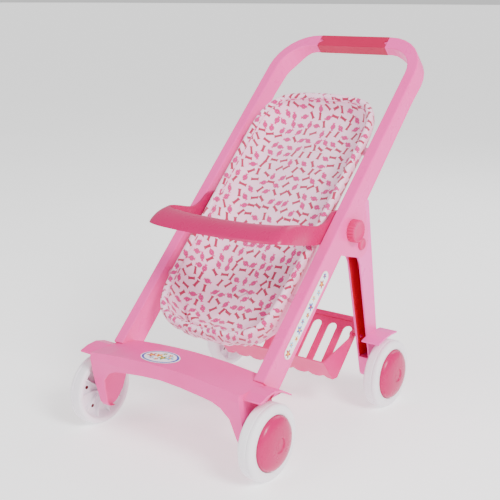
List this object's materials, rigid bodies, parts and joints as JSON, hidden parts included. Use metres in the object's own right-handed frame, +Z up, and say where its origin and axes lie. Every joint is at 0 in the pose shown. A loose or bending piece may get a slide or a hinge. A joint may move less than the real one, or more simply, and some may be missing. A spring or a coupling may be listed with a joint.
{
  "type": "doll stroller",
  "caption": "Folding toy stroller for dolls: push frame with a grip, padded bucket seat, play tray, fold-in rear legs, basket and wheels.",
  "frame": {"origin": "on the floor, under the middle of the stroller's overall length and width", "axes": "+Z up, +X to the stroller's right-hand side seen from the front camera side (its width), the stroller faces -Y and is pushed from +Y"},
  "size_m": [0.3332, 0.4897, 0.5306],
  "materials": {
    "frame": "light pink moulded plastic, satin gloss",
    "crossbar": "light pink moulded plastic, satin gloss",
    "rear_leg": "light pink moulded plastic, satin gloss",
    "magenta": "deep pink moulded plastic, glossy",
    "knob": "deep pink moulded plastic",
    "grip": "deep pink soft sleeve",
    "wheel": "white moulded plastic",
    "steel": "plain zinc-coated steel",
    "seat": "pale pink moulded shell",
    "fabric": "printed pink cotton with a small all-over pattern",
    "sticker": "printed vinyl sticker"
  },
  "bodies": {
    "frame": {"frame_hoop": "frame", "handle_grip": "grip", "front_crossbar": "crossbar", "badge": "sticker", "seat_shell": "seat", "seat_cover": "fabric", "crossbar_screw_left": "steel", "leg_decal_left": "sticker", "axle_front_left": "steel", "pivot_pin_left": "knob", "pivot_washer_left": "steel", "crossbar_screw_right": "steel", "leg_decal_right": "sticker", "axle_front_right": "steel", "pivot_pin_right": "knob", "pivot_washer_right": "steel"},
    "rear_legs": {"rear_leg_left": "rear_leg", "basket_pin_left": "knob", "axle_rear_left": "steel", "rear_leg_right": "rear_leg", "basket_pin_right": "knob", "axle_rear_right": "steel"},
    "basket": {"basket": "rear_leg"},
    "tray": {"tray": "magenta", "knob_nut_left": "steel", "knob_nut_right": "steel"},
    "knob_left": {"knob_left": "knob"},
    "wheel_front_left": {"wheel_front_left": "wheel", "hub_cap_front_left": "magenta"},
    "wheel_rear_left": {"wheel_rear_left": "wheel", "hub_cap_rear_left": "magenta"},
    "knob_right": {"knob_right": "knob"},
    "wheel_front_right": {"wheel_front_right": "wheel", "hub_cap_front_right": "magenta"},
    "wheel_rear_right": {"wheel_rear_right": "wheel", "hub_cap_rear_right": "magenta"}
  },
  "joints": [
    {"name": "rear_leg_fold", "type": "hinge", "parent": "frame", "child": "rear_legs", "pos_m": [0, 0.04439, 0.25446], "axis": [-1, 0, 0], "range_deg": [0, 54]},
    {"name": "basket_swing", "type": "hinge", "parent": "rear_legs", "child": "basket", "pos_m": [0, 0.0866, 0.1033], "axis": [1, 0, 0], "range_deg": [0, 64.8]},
    {"name": "tray_lift", "type": "hinge", "parent": "frame", "child": "tray", "pos_m": [0, 0.01939, 0.27826], "axis": [-1, 0, 0], "range_deg": [0, 65]},
    {"name": "knob_left_turn", "type": "hinge", "parent": "frame", "child": "knob_left", "pos_m": [-0.136, 0.01939, 0.27826], "axis": [-1, 0, 0], "continuous": true},
    {"name": "wheel_front_left_spin", "type": "hinge", "parent": "frame", "child": "wheel_front_left", "pos_m": [-0.1465, -0.1986, 0.05], "axis": [-1, 0, 0], "continuous": true},
    {"name": "wheel_rear_left_spin", "type": "hinge", "parent": "rear_legs", "child": "wheel_rear_left", "pos_m": [-0.1465, 0.1006, 0.05], "axis": [-1, 0, 0], "continuous": true},
    {"name": "knob_right_turn", "type": "hinge", "parent": "frame", "child": "knob_right", "pos_m": [0.136, 0.01939, 0.27826], "axis": [1, 0, 0], "continuous": true},
    {"name": "wheel_front_right_spin", "type": "hinge", "parent": "frame", "child": "wheel_front_right", "pos_m": [0.1465, -0.1986, 0.05], "axis": [-1, 0, 0], "continuous": true},
    {"name": "wheel_rear_right_spin", "type": "hinge", "parent": "rear_legs", "child": "wheel_rear_right", "pos_m": [0.1465, 0.1006, 0.05], "axis": [-1, 0, 0], "continuous": true}
  ],
  "couplings": [
    {"joint": "basket_swing", "follows": "rear_leg_fold", "ratio": 1.2}
  ]
}
